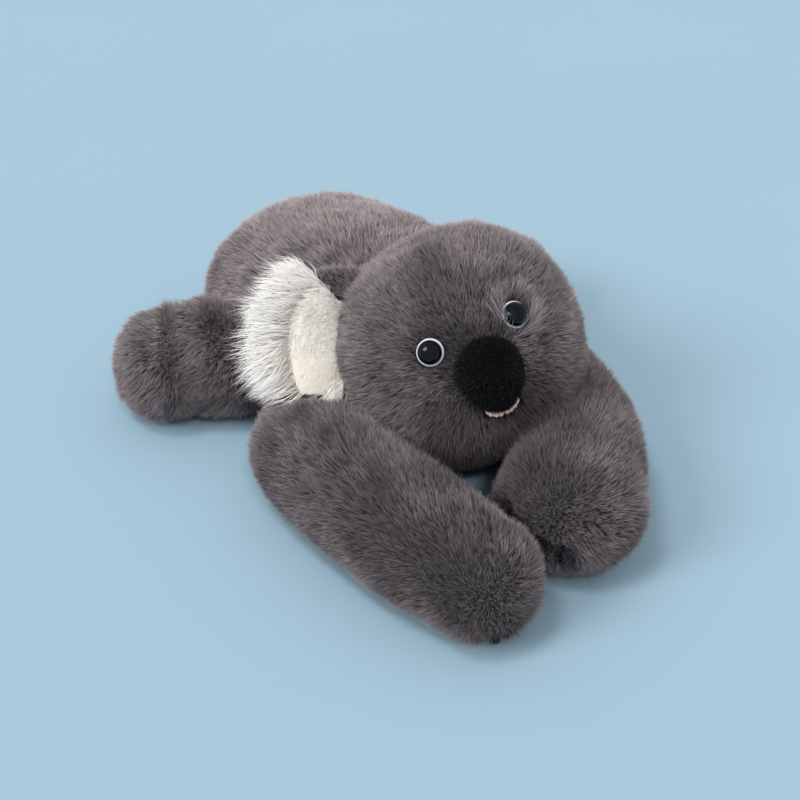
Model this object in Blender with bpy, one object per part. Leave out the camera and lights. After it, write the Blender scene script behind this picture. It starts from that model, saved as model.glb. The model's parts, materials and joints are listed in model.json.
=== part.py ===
"""Plush koala lying on its belly, head on its folded arms. Metres, +Z up, face towards -Y."""

import math

import bmesh
import bpy
from mathutils import Matrix, Vector

# Fits and shared clearances
GAP = 0.0003  # between two pieces that touch
FLOOR_SINK = 0.0005  # how far a soft form is pressed flat where it lies
OVERRUN = 0.010  # how far a cutter runs past what it cuts
CUP_RISE = 0.0005  # how far a joint's centre stands clear of the cloth that it turns past
BALL_CLEAR = 0.00015  # about a ball or root, inside which nothing cuts it
CUP_CLEAR = BALL_CLEAR + GAP  # about a ball or root, where its cup begins
SWING_CLEARANCE = 0.0016  # beside a joint's ball, where a limb swings past the torso
SWING_STEPS = 2  # places along a swing where a piece is cut clear of its neighbours

# Head: a plump form turned about the nod axis, so that it can nod in its cup
HEAD_WIDTH = 0.192
HEAD_DEPTH = 0.188
HEAD_HEIGHT = 0.101  # its centre above the ground
HEAD_PLUMPNESS = 2.15
HEAD_TURN_DEG = -22.0  # towards the koala's right arm
HEAD_LIFT_DEG = 20.0
HEAD_TILT_DEG = 17.0  # the left ear is the higher one
NECK_OFFSET = 0.012  # the head's centre stands this far to the left of the torso's midline

# Torso: a bean from the chest, under the head, to the rump
TORSO_LENGTH = 0.286
TORSO_WIDTH = 0.216
TORSO_THICKNESS = 0.144
CHEST_REACH = 0.012  # how far the chest runs in front of the head's centre
TORSO_SECTION_SHARES = (
    # along the length, of the width, of the thickness
    (0.17, 0.88, 0.80),
    (0.36, 0.95, 0.94),
    (0.56, 1.00, 1.00),
    (0.76, 0.94, 0.93),
)

# Arms: both are cut from one pattern and lie in two poses
ARM_REACH = 0.220  # from the shoulder's centre to the middle of the paw, straight ahead
ARM_WIDTH = 0.110
ARM_THICKNESS = 0.102
SHOULDER_RADIUS = 0.040
SHOULDER_BACK = 0.040  # how far the shoulders lie behind the head's centre
SHOULDER_STAND = 0.020  # how far a shoulder's centre stands out of the torso's side
SHOULDER_SWING_DEG = 12.0  # outwards
PAW_LENGTH = 0.040  # of the rounded end past the last section
RIGHT_ARM_SHARES = (
    # ahead and outwards, of the reach; of the width, of the thickness
    (0.16, 0.055, 0.86, 0.92),
    (0.63, 0.015, 0.89, 0.98),
    (0.97, -0.065, 0.79, 0.88),
)
LEFT_ARM_SHARES = (
    (0.27, -0.085, 0.76, 0.84),
    (0.61, -0.230, 0.86, 0.93),
    (0.90, -0.520, 1.00, 1.05),
)

# Legs: a thigh splayed outwards from the hip, with a foot sewn to its end
THIGH_REACH = 0.022
HIP_RADIUS = 0.046
HIP_BACK = 0.156  # how far the hips lie behind the head's centre
HIP_SWING_DEG = 12.0  # to the koala's left, seen from above
KNEE_LENGTH = 0.034
KNEE_SHARES = (1.04, 1.12)  # width and thickness at the knee, of the hip's
FOOT_REACH = 0.067  # from the hip's centre to the foot's centre
RIGHT_SPLAY_DEG = 30.0  # the foot's way, backwards of straight out
LEFT_SPLAY_DEG = -46.0
FOOT_LENGTH = 0.068
FOOT_WIDTH = 0.098
FOOT_THICKNESS = 0.094
FOOT_CAP_SHARES = (0.36, 0.54)  # of its length, rounded off at the heel and the toes
FOOT_TOE_SHARE = 0.97  # of its width and thickness, where the toes start to round off

# Ears: a long-haired flap on a rounded root, with a smooth lining on its front
EAR_REACH = 0.064
EAR_LENGTH = 0.112
EAR_THICKNESS = 0.022
EAR_ROOT_RADIUS = 0.014
EAR_ROOT_SINK = 0.006
EAR_CLEARANCE = 0.005  # from the arms, which the ears pass as the head nods
EAR_TORSO_CLEARANCE = 0.001  # from the torso, which the ears slide past as the head nods
EAR_SWINGS_DEG = (12.0, 20.0)  # the right ear's flop and the left ear's unfolding
EAR_TURNS_DEG = (
    # root above the nod axis, root behind it, root's upper end tipped back, flap folded back
    (26.0, 10.0, 20.0, -16.0),
    (12.0, 40.0, 37.0, 38.0),
)
LINING_REACH = 0.044
LINING_LENGTH = 0.088
LINING_THICKNESS = 0.010
LINING_INSET = 0.005  # from the ear's root
LINING_DROP = 0.008  # towards the root's lower end

# Nose and mouth
NOSE_WIDTH = 0.050
NOSE_LENGTH = 0.058
NOSE_DEPTH = 0.044
NOSE_TAPER_SHARE = 0.14  # narrower at its lower end
NOSE_LIFT_DEG = 2.0
NOSE_SINK = 0.002
MOUTH_WIDTH = 0.032
MOUTH_LENGTH = 0.020
MOUTH_THICKNESS = 0.010
MOUTH_DROP = 0.026  # below the nose's centre

# Eyes: a domed button on a white rim, held through the cloth by a lock washer
EYE_SIDE_DEG = 21.0
EYE_LIFT_DEG = 23.0
EYE_DIAMETER = 0.0185
EYE_DOME_HEIGHT = 0.0075
EYE_EDGE_SHARE = 0.12  # of the dome's height, straight before it rounds over
RIM_DIAMETER = 0.0225
RIM_THICKNESS = 0.0020
RIM_BEVEL_SHARE = 0.4
RIM_BACK = 0.0012  # the seat's depth under the cloth's crown
SHANK_DIAMETER = 0.0045
CLOTH_THICKNESS = 0.0060
WASHER_DIAMETER = 0.0140
WASHER_THICKNESS = 0.0018
SHANK_END = 0.0030  # how far the shank runs past the washer

# Claws: four stitched claws round the end of each front paw
CLAW_LENGTH = 0.015
CLAW_WIDTH = 0.0060
RIGHT_CLAWS_DEG = (
    # from the arm's line towards its inner side, and below the level
    (-30.0, 50.0),
    (-10.0, 54.0),
    (10.0, 54.0),
    (30.0, 50.0),
)
LEFT_CLAWS_DEG = (
    (0.0, 15.0),
    (17.0, 12.0),
    (37.0, 2.0),
    (55.0, -6.0),
)

# Fineness of the meshes
AROUND_HEAD = 30
AROUND_TORSO = 24
AROUND_LIMB = 18
AROUND_SMALL = 16
AROUND_BUTTON = 24
AROUND_CLAW = 10
CAP_ROWS = 4
STATION_ROWS = 3
DOME_ROWS = 6
SHARP_DEG = 40.0


def clear_scene():
    for old in list(bpy.data.objects):
        bpy.data.objects.remove(old, do_unlink=True)


def material(name, colour, roughness):
    made = bpy.data.materials.new(name)
    made.use_nodes = True
    shader = made.node_tree.nodes["Principled BSDF"]
    shader.inputs["Base Color"].default_value = (*colour, 1.0)
    shader.inputs["Roughness"].default_value = roughness
    shader.inputs["Metallic"].default_value = 0.0
    return made


def add_empty(name, parent, matrix):
    empty = bpy.data.objects.new(name, None)
    bpy.context.scene.collection.objects.link(empty)
    empty.parent = parent
    empty.matrix_basis = matrix
    return empty


def add_object(name, mesh, parent, finish=None, matrix=None):
    made = bpy.data.objects.new(name, mesh)
    bpy.context.scene.collection.objects.link(made)
    made.parent = parent
    if matrix is not None:
        made.matrix_basis = matrix
    if finish is None:
        made.hide_render = True
        made.display_type = "WIRE"
    else:
        mesh.materials.append(finish)
    return made


def cut(piece, *cutters):
    for cutter in cutters:
        boolean = piece.modifiers.new("less_" + cutter.name, "BOOLEAN")
        boolean.operation = "DIFFERENCE"
        boolean.solver = "EXACT"
        boolean.object = cutter


def skin_rows(name, rows, first_pole, last_pole):
    """A closed mesh through rings of equal count, drawn to a point at each end."""
    work = bmesh.new()
    rings = [[work.verts.new(point) for point in row] for row in rows]
    for ring, following in zip(rings, rings[1:]):
        bmesh.ops.bridge_loops(work, edges=ring_edges(work, ring) + ring_edges(work, following))
    for ring, pole in ((rings[0], first_pole), (rings[-1], last_pole)):
        tip = work.verts.new(pole)
        for index, vert in enumerate(ring):
            work.faces.new((vert, ring[index - 1], tip))
    bmesh.ops.recalc_face_normals(work, faces=work.faces)
    mesh = bpy.data.meshes.new(name)
    work.to_mesh(mesh)
    work.free()
    mesh.shade_smooth()
    return mesh


def ring_edges(work, ring):
    edges = []
    for index, vert in enumerate(ring):
        pair = (vert, ring[index - 1])
        edges.append(work.edges.get(pair) or work.edges.new(pair))
    return edges


def turned(name, profile, around, bore=False):
    """A profile of (radius, height) pairs turned about Z, with a hole through it if bored."""
    work = bmesh.new()
    verts = [work.verts.new((radius, 0.0, height)) for radius, height in profile]
    pairs = list(zip(verts, verts[1:]))
    if bore:
        pairs.append((verts[-1], verts[0]))
    edges = [work.edges.new(pair) for pair in pairs]
    bmesh.ops.spin(
        work, geom=verts + edges, cent=(0.0, 0.0, 0.0), axis=(0.0, 0.0, 1.0),
        angle=math.tau, steps=around, use_merge=True,
    )
    bmesh.ops.remove_doubles(work, verts=work.verts, dist=GAP / AROUND_HEAD)
    bmesh.ops.recalc_face_normals(work, faces=work.faces)
    mesh = bpy.data.meshes.new(name)
    work.to_mesh(mesh)
    work.free()
    mesh.shade_smooth()
    mesh.set_sharp_from_angle(angle=math.radians(SHARP_DEG))
    return mesh


def catmull(points, steps):
    """Smooth points through a list of vectors of any size, ends included."""
    ends = [2.0 * points[0] - points[1]] + points + [2.0 * points[-1] - points[-2]]
    smooth = []
    for index in range(len(points) - 1):
        a, b, c, d = ends[index:index + 4]
        for step in range(steps):
            t = step / steps
            smooth.append(0.5 * (
                2.0 * b + (c - a) * t + (2.0 * a - 5.0 * b + 4.0 * c - d) * t ** 2
                + (3.0 * b - a - 3.0 * c + d) * t ** 3
            ))
    smooth.append(points[-1].copy())
    return smooth


def swell(name, stations, first_cap, last_cap, around, grow=0.0):
    """A stuffed form along a level centre line, rounded off at both ends.

    A station is (x, y, half width, half thickness). The form's underside lies FLOOR_SINK below
    the ground all along, so the centre line climbs with the thickness.
    """
    smooth = catmull([Vector(station) for station in stations], STATION_ROWS)
    centres = [Vector((s[0], s[1], s[3] - FLOOR_SINK)) for s in smooth]
    halves = [(s[2] + grow, s[3] + grow) for s in smooth]
    rows = []
    for index, centre in enumerate(centres):
        ahead = centres[min(index + 1, len(centres) - 1)] - centres[max(index - 1, 0)]
        ahead = Vector((ahead.x, ahead.y, 0.0)).normalized()
        rows.append(section(centre, ahead, *halves[index], around))
        if index == 0:
            first = cap_rows(centre, -ahead, ahead, first_cap + grow, halves[index], around)
        if index == len(centres) - 1:
            last = cap_rows(centre, ahead, ahead, last_cap + grow, halves[index], around)
    return skin_rows(name, first[0][::-1] + rows + last[0], first[1], last[1])


def section(centre, ahead, half_width, half_thickness, around):
    side = Vector((ahead.y, -ahead.x, 0.0))
    points = []
    for index in range(around):
        turn = math.tau * (index + 0.5) / around
        points.append(
            centre + side * (half_width * math.cos(turn))
            + Vector((0.0, 0.0, half_thickness * math.sin(turn)))
        )
    return points


def cap_rows(centre, outwards, ahead, length, halves, around):
    rows = []
    for index in range(1, CAP_ROWS):
        angle = 0.5 * math.pi * index / CAP_ROWS
        middle = centre + outwards * (length * math.sin(angle))
        shrink = math.cos(angle)
        rows.append(section(middle, ahead, halves[0] * shrink, halves[1] * shrink, around))
    return rows, centre + outwards * length


def egg(name, half_x, half_y, half_z, around, taper_share=0.0):
    """An ovoid with its long axis on Z, narrower towards -Z by the taper share."""
    rows = []
    count = around // 2
    for index in range(1, count):
        angle = math.pi * index / count
        height = -math.cos(angle)
        width = math.sin(angle) * (1.0 + taper_share * height)
        rows.append([
            Vector((
                half_x * width * math.cos(math.tau * step / around),
                half_y * width * math.sin(math.tau * step / around),
                half_z * height,
            ))
            for step in range(around)
        ])
    return skin_rows(name, rows, (0.0, 0.0, -half_z), (0.0, 0.0, half_z))


def circumscribed(radius, around):
    """The corner radius of a many-sided turned form whose flats stand clear of the radius."""
    return radius / math.cos(math.pi / around)


def ball(name, radius, around):
    corner = circumscribed(circumscribed(radius, around), around)
    return egg(name, corner, corner, corner, around)


def swung(cutter, pivot, turn_deg, rest_frame):
    """A cutter as it lies to a piece that has swung by the turn about its pivot's own Z."""
    bpy.context.view_layer.update()
    turn = Matrix.Rotation(math.radians(-turn_deg), 4, "Z")
    place = pivot.matrix_world @ turn @ pivot.matrix_world.inverted() @ cutter.matrix_world
    shape = cutter.evaluated_get(bpy.context.evaluated_depsgraph_get())
    mesh = bpy.data.meshes.new_from_object(shape)
    return add_object(cutter.name + "_swung", mesh, rest_frame, None, place)


def cut_along(piece, cutters, pivot, swing_deg, rest_frame):
    """Cuts a piece clear of its neighbours at rest and all along its swing."""
    for cutter in cutters:
        cut(piece, cutter)
        for step in range(1, SWING_STEPS + 1):
            cut(piece, swung(cutter, pivot, swing_deg * step / SWING_STEPS, rest_frame))


# The head and all that is sewn or fixed to it, in the head's own axes:
# X along the nod axis to the koala's left, -Y out of the face, Z through the crown.


def head_axes():
    turn = Matrix.Rotation(math.radians(HEAD_TURN_DEG), 4, "Z")
    lift = Matrix.Rotation(math.radians(-HEAD_LIFT_DEG), 4, "X")
    tilt = Matrix.Rotation(math.radians(HEAD_TILT_DEG), 4, "Y").inverted()
    return turn @ lift @ tilt


def head_profile_share(across_share):
    return max(1.0 - abs(across_share) ** HEAD_PLUMPNESS, 0.0) ** (1.0 / HEAD_PLUMPNESS)


def head_mesh(name, grow, around):
    """The head's plump profile turned about X. A grown one clears the head as it nods."""
    rows = []
    count = around // 2
    radius = 0.5 * HEAD_DEPTH
    if grow:
        radius = circumscribed(radius + grow, around)
    half_width = 0.5 * HEAD_WIDTH + grow
    for index in range(1, count):
        across_share = -math.cos(math.pi * index / count)
        ring = radius * head_profile_share(across_share)
        rows.append([
            Vector((
                half_width * across_share,
                ring * math.cos(math.tau * step / around),
                ring * math.sin(math.tau * step / around),
            ))
            for step in range(around)
        ])
    return skin_rows(name, rows, (-half_width, 0.0, 0.0), (half_width, 0.0, 0.0))


def on_head(side_deg, lift_deg):
    """The point of the head's surface in a direction, and its outward normal."""
    side = math.radians(side_deg)
    lift = math.radians(lift_deg)
    way = Vector((
        math.sin(side),
        -math.cos(side) * math.cos(lift),
        math.cos(side) * math.sin(lift),
    ))
    ring = math.hypot(way.y, way.z)
    across_part = (abs(way.x) / (0.5 * HEAD_WIDTH)) ** HEAD_PLUMPNESS
    ring_part = (ring / (0.5 * HEAD_DEPTH)) ** HEAD_PLUMPNESS
    point = way * (across_part + ring_part) ** (-1.0 / HEAD_PLUMPNESS)
    steep_x = across_part / way.x if way.x else 0.0
    normal = Vector((steep_x, ring_part * way.y / ring ** 2, ring_part * way.z / ring ** 2))
    return point, normal.normalized()


def facing(point, outwards, upwards):
    """A frame at the point with Z outwards and Y as near to upwards as it can be."""
    side = upwards.cross(outwards).normalized()
    frame = Matrix((side, outwards.cross(side), outwards)).transposed().to_4x4()
    frame.translation = point
    return frame


def eye_frame(side):
    point, normal = on_head(side * EYE_SIDE_DEG, EYE_LIFT_DEG)
    return facing(point - normal * RIM_BACK, normal, Vector((0.0, 0.0, 1.0)))


def washer_depth():
    return CLOTH_THICKNESS + WASHER_THICKNESS


def eye_mesh():
    """A domed button with the shank that the washer grips, in one moulding."""
    dome = []
    flat = RIM_THICKNESS + GAP
    edge = EYE_EDGE_SHARE * EYE_DOME_HEIGHT
    for index in range(DOME_ROWS + 1):
        angle = 0.5 * math.pi * index / DOME_ROWS
        dome.append((
            0.5 * EYE_DIAMETER * math.cos(angle),
            flat + edge + (EYE_DOME_HEIGHT - edge) * math.sin(angle),
        ))
    shank = 0.5 * SHANK_DIAMETER
    foot = -(washer_depth() + SHANK_END)
    profile = [(0.0, foot), (shank, foot), (shank, flat), (0.5 * EYE_DIAMETER, flat)] + dome
    profile[-1] = (0.0, profile[-1][1])
    return turned("eye", profile, AROUND_BUTTON)


def rim_mesh():
    hole = 0.5 * SHANK_DIAMETER + GAP
    outer = 0.5 * RIM_DIAMETER
    soft = RIM_BEVEL_SHARE * RIM_THICKNESS
    profile = [
        (hole, GAP), (outer - soft, GAP), (outer, GAP + soft),
        (outer, RIM_THICKNESS - soft), (outer - soft, RIM_THICKNESS), (hole, RIM_THICKNESS),
    ]
    return turned("rim", profile, AROUND_BUTTON, bore=True)


def washer_mesh():
    hole = 0.5 * SHANK_DIAMETER + GAP
    top = -CLOTH_THICKNESS
    base = -washer_depth()
    profile = [
        (hole, base), (0.5 * WASHER_DIAMETER, base), (0.5 * WASHER_DIAMETER, top), (hole, top),
    ]
    return turned("washer", profile, AROUND_SMALL, bore=True)


def eye_socket_mesh():
    """What the head gives way to: the rim's seat, the shank's hole and the washer's pocket."""
    seat = 0.5 * RIM_DIAMETER + GAP
    hole = 0.5 * SHANK_DIAMETER + GAP
    pocket = 0.5 * WASHER_DIAMETER + GAP
    base = -washer_depth() - GAP
    foot = -(washer_depth() + SHANK_END + GAP)
    profile = [
        (0.0, foot), (hole, foot), (hole, base), (pocket, base),
        (pocket, -CLOTH_THICKNESS + GAP), (hole, -CLOTH_THICKNESS + GAP),
        (hole, 0.0), (seat, 0.0), (seat, OVERRUN), (0.0, OVERRUN),
    ]
    return turned("eye_socket", profile, AROUND_BUTTON)


def ear_frame(side, turns_deg):
    """The ear's axes: Z up along its root, X along the flap, and the lining towards the face."""
    lift, back, roll, fold = (math.radians(turn) for turn in turns_deg)
    level = Vector((side * math.cos(back), math.sin(back), 0.0))
    outwards = level * math.cos(lift) + Vector((0.0, 0.0, math.sin(lift)))
    root = Vector((0.0, 0.0, math.cos(lift))) - level * math.sin(lift)
    across_part = (abs(outwards.x) / (0.5 * HEAD_WIDTH)) ** HEAD_PLUMPNESS
    ring_part = (math.hypot(outwards.y, outwards.z) / (0.5 * HEAD_DEPTH)) ** HEAD_PLUMPNESS
    reach = (across_part + ring_part) ** (-1.0 / HEAD_PLUMPNESS) - EAR_ROOT_SINK
    frame = Matrix((outwards, root.cross(outwards), root)).transposed().to_4x4()
    frame.translation = outwards * reach
    return frame @ Matrix.Rotation(-side * roll, 4, "X") @ Matrix.Rotation(side * fold, 4, "Z")


def ear_outline():
    """The ear's cross section: a lens that leaves a round root on the flop axis."""
    half = 0.5 * EAR_THICKNESS
    rise = math.asin(half / EAR_ROOT_RADIUS)
    leave = math.acos(EAR_ROOT_RADIUS * math.cos(rise) / EAR_REACH)
    count = AROUND_LIMB // 2
    points = []
    for step in range(count):
        turn = leave * (1.0 - 2.0 * step / count)
        points.append((EAR_REACH * math.cos(turn), half * math.sin(turn)))
    for step in range(count):
        turn = -rise - (math.tau - 2.0 * rise) * step / count
        points.append((EAR_ROOT_RADIUS * math.cos(turn), EAR_ROOT_RADIUS * math.sin(turn)))
    return points


def ear_mesh(name):
    rows = []
    count = AROUND_LIMB // 2
    outline = ear_outline()
    half = 0.5 * EAR_LENGTH
    for index in range(1, count):
        angle = math.pi * index / count
        shrink = math.sin(angle)
        height = -half * math.cos(angle)
        rows.append([Vector((x * shrink, y * shrink, height)) for x, y in outline])
    return skin_rows(name, rows, (0.0, 0.0, -half), (0.0, 0.0, half))


def ear_root_mesh(name, clear):
    """The root's own spindle, clear of its facets as it turns."""
    corner = circumscribed(EAR_ROOT_RADIUS + clear, AROUND_LIMB)
    return egg(name, corner, corner, 0.5 * EAR_LENGTH + clear, AROUND_LIMB)


def lining_frame(front):
    middle = LINING_INSET + 0.5 * LINING_REACH
    thin = 0.5 * EAR_THICKNESS * math.sqrt(1.0 - (middle / EAR_REACH) ** 2)
    return Matrix.Translation((middle, front * thin, -LINING_DROP))


def lining_mesh(name, grow):
    return egg(
        name, 0.5 * LINING_REACH + grow, 0.5 * LINING_THICKNESS + grow,
        0.5 * LINING_LENGTH + grow, AROUND_SMALL,
    )


def build_head(rest_frame, finishes):
    neck = add_empty(
        "neck_pivot", rest_frame,
        Matrix.Translation((0.0, 0.0, HEAD_HEIGHT)) @ head_axes(),
    )
    head = add_object("head", head_mesh("head", 0.0, AROUND_HEAD), neck, finishes["fur"])
    cup = add_object("head_cup", head_mesh("head_cup", GAP, AROUND_HEAD), neck)
    build_eyes(neck, head, finishes)
    build_nose_and_mouth(neck, cup, finishes)
    ears = []
    for name, side, turns_deg, swing_deg in zip(
        ("right_ear", "left_ear"), (-1, 1), EAR_TURNS_DEG, EAR_SWINGS_DEG
    ):
        pivot = add_empty(name + "_pivot", neck, ear_frame(side, turns_deg))
        pieces = build_ear(name, side, pivot, -side * swing_deg, rest_frame, head, finishes)
        ears.append((pieces, -side * swing_deg))
    return cup, ears


def build_eyes(neck, head, finishes):
    for side_name, side in (("right", -1), ("left", 1)):
        place = eye_frame(side)
        add_object(side_name + "_eye", eye_mesh(), neck, finishes["eye"], place)
        add_object(side_name + "_eye_rim", rim_mesh(), neck, finishes["rim"], place)
        add_object(side_name + "_eye_washer", washer_mesh(), neck, finishes["washer"], place)
        cut(head, add_object(side_name + "_eye_socket", eye_socket_mesh(), neck, None, place))


def build_nose_and_mouth(neck, cup, finishes):
    point, outwards = on_head(0.0, NOSE_LIFT_DEG)
    upright = facing(point - outwards * NOSE_SINK, outwards, Vector((0.0, 0.0, 1.0)))
    stand = upright @ Matrix.Rotation(0.5 * math.pi, 4, "X").inverted()
    halves = (0.5 * NOSE_WIDTH, 0.5 * NOSE_DEPTH, 0.5 * NOSE_LENGTH)
    nose = egg("nose", *halves, AROUND_LIMB, NOSE_TAPER_SHARE)
    grown = egg("nose_cutter", *(half + GAP for half in halves), AROUND_LIMB, NOSE_TAPER_SHARE)
    cut(add_object("nose", nose, neck, finishes["nose"], stand), cup)
    nose_cutter = add_object("nose_cutter", grown, neck, None, stand)
    mouth = egg(
        "mouth", 0.5 * MOUTH_WIDTH, 0.5 * MOUTH_THICKNESS, 0.5 * MOUTH_LENGTH, AROUND_SMALL
    )
    drop = math.degrees(2.0 * MOUTH_DROP / HEAD_DEPTH)
    low_point, low_outwards = on_head(0.0, NOSE_LIFT_DEG - drop)
    low = facing(low_point, low_outwards, Vector((0.0, 0.0, 1.0)))
    low = low @ Matrix.Rotation(0.5 * math.pi, 4, "X").inverted()
    cut(add_object("mouth", mouth, neck, finishes["mouth"], low), cup, nose_cutter)


def build_ear(name, side, pivot, swing_deg, rest_frame, head, finishes):
    ear = add_object(name, ear_mesh(name), pivot, finishes["ear"])
    spared_mesh = head_mesh(name + "_head", GAP, AROUND_HEAD)
    spared = add_object(name + "_head", spared_mesh, pivot.parent)
    cut(spared, add_object(name + "_root", ear_root_mesh(name + "_root", BALL_CLEAR), pivot))
    cut(head, add_object(name + "_seat", ear_root_mesh(name + "_seat", CUP_CLEAR), pivot))
    lining_place = lining_frame(-side)
    lining = add_object(
        name + "_lining", lining_mesh(name + "_lining", 0.0), pivot, finishes["lining"],
        lining_place,
    )
    pocket = lining_mesh(name + "_pocket", GAP)
    for piece in (ear, lining):
        cut_along(piece, (spared,), pivot, swing_deg, rest_frame)
    cut(ear, add_object(name + "_pocket", pocket, pivot, None, lining_place))
    return ear, lining


# The torso, arms and legs, which lie on the ground.


def torso_stations():
    front = -CHEST_REACH
    return [
        (
            -NECK_OFFSET, front + along * TORSO_LENGTH,
            0.5 * TORSO_WIDTH * wide, 0.5 * TORSO_THICKNESS * thick,
        )
        for along, wide, thick in TORSO_SECTION_SHARES
    ]


def torso_mesh(name, grow):
    first_cap = TORSO_SECTION_SHARES[0][0] * TORSO_LENGTH
    last_cap = (1.0 - TORSO_SECTION_SHARES[-1][0]) * TORSO_LENGTH
    return swell(name, torso_stations(), first_cap, last_cap, AROUND_TORSO, grow)


def torso_half_width(behind_head, height):
    """The torso's half width at a distance behind the head's centre and a height."""
    smooth = catmull([Vector(station) for station in torso_stations()], AROUND_TORSO)
    nearest = min(smooth, key=lambda s: abs(s[1] - behind_head))
    rise = (height - (nearest[3] - FLOOR_SINK)) / nearest[3]
    return nearest[2] * math.sqrt(1.0 - rise ** 2)


def joint_place(side, behind_head, radius, stand):
    """A shoulder's or hip's centre: its ball is sunk in the torso, but for how far it stands out."""
    out = torso_half_width(behind_head, radius - FLOOR_SINK) + stand
    return Matrix.Translation((side * out - NECK_OFFSET, behind_head, 0.0))


def limb_stations(side, radius, shares):
    """Stations of an arm in its pivot's axes: a round shoulder first, then the shares."""
    stations = [(0.0, 0.0, radius, radius)]
    for ahead, outwards, wide, thick in shares:
        stations.append((
            side * outwards * ARM_REACH, -ahead * ARM_REACH,
            0.5 * ARM_WIDTH * wide, 0.5 * ARM_THICKNESS * thick,
        ))
    return stations


def arm_mesh(name, side, shares, grow):
    stations = limb_stations(side, SHOULDER_RADIUS, shares)
    return swell(name, stations, SHOULDER_RADIUS, PAW_LENGTH, AROUND_LIMB, grow)


def thigh_mesh(name, side, splay_deg, grow):
    splay = math.radians(splay_deg)
    out = Vector((side * math.cos(splay), math.sin(splay))) * THIGH_REACH
    knee = [HIP_RADIUS * share for share in KNEE_SHARES]
    stations = [(0.0, 0.0, HIP_RADIUS, HIP_RADIUS), (out.x, out.y, *knee)]
    return swell(name, stations, HIP_RADIUS, KNEE_LENGTH, AROUND_LIMB, grow)


def foot_mesh(name, side, splay_deg):
    splay = math.radians(splay_deg)
    out = Vector((side * math.cos(splay), math.sin(splay)))
    heel_halves = (0.5 * FOOT_WIDTH, 0.5 * FOOT_THICKNESS)
    toe_halves = [FOOT_TOE_SHARE * half for half in heel_halves]
    heel_cap, toe_cap = (share * FOOT_LENGTH for share in FOOT_CAP_SHARES)
    heel = out * (FOOT_REACH - 0.5 * FOOT_LENGTH + heel_cap)
    toes = out * (FOOT_REACH + 0.5 * FOOT_LENGTH - toe_cap)
    stations = [(*heel, *heel_halves), (*toes, *toe_halves)]
    return swell(name, stations, heel_cap, toe_cap, AROUND_LIMB)


def cup_and_spared_torso(name, pivot, radius, rest_frame):
    """The cup in the torso for a limb's ball, and the torso as that limb is cut by it."""
    cup = add_object(name + "_cup", ball(name + "_cup", radius + CUP_CLEAR, AROUND_LIMB), pivot)
    kept = add_object(name + "_ball", ball(name + "_ball", radius + BALL_CLEAR, AROUND_LIMB), pivot)
    cup.location.z = kept.location.z = radius - FLOOR_SINK
    spared_mesh = torso_mesh(name + "_torso", SWING_CLEARANCE)
    spared = add_object(name + "_torso", spared_mesh, rest_frame)
    cut(spared, kept)
    return cup, spared


def add_claws(arm_name, pivot, side, shares, turns_deg, arm_cutter, finish):
    """Claws round the paw's end, each lying away from the arm's line and set into the pile."""
    smooth = catmull([Vector(s) for s in limb_stations(side, SHOULDER_RADIUS, shares)], STATION_ROWS)
    x, y, half_width, half_thickness = smooth[-1]
    ahead = Vector((x - smooth[-2][0], y - smooth[-2][1], 0.0)).normalized()
    inwards = Vector((ahead.y, -ahead.x, 0.0)) * side
    down = Vector((0.0, 0.0, -1.0))
    centre = Vector((x, y, half_thickness - FLOOR_SINK))
    for index, (turn_deg, dip_deg) in enumerate(turns_deg):
        turn = math.radians(turn_deg)
        dip = math.radians(dip_deg)
        shares_out = (
            math.cos(turn) * math.cos(dip), math.sin(turn) * math.cos(dip), math.sin(dip),
        )
        spot = (
            ahead * (PAW_LENGTH * shares_out[0]) + inwards * (half_width * shares_out[1])
            + down * (half_thickness * shares_out[2])
        )
        outwards = (
            ahead * (shares_out[0] / PAW_LENGTH) + inwards * (shares_out[1] / half_width)
            + down * (shares_out[2] / half_thickness)
        ).normalized()
        place = facing(centre + spot, outwards, down)
        place = place @ Matrix.Rotation(0.5 * math.pi, 4, "X").inverted()
        mesh = egg(
            "claw", 0.5 * CLAW_WIDTH, 0.5 * CLAW_WIDTH, 0.5 * CLAW_LENGTH, AROUND_CLAW
        )
        name = arm_name + "_claw_" + str(index + 1)
        cut(add_object(name, mesh, pivot, finish, place), arm_cutter)


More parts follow.
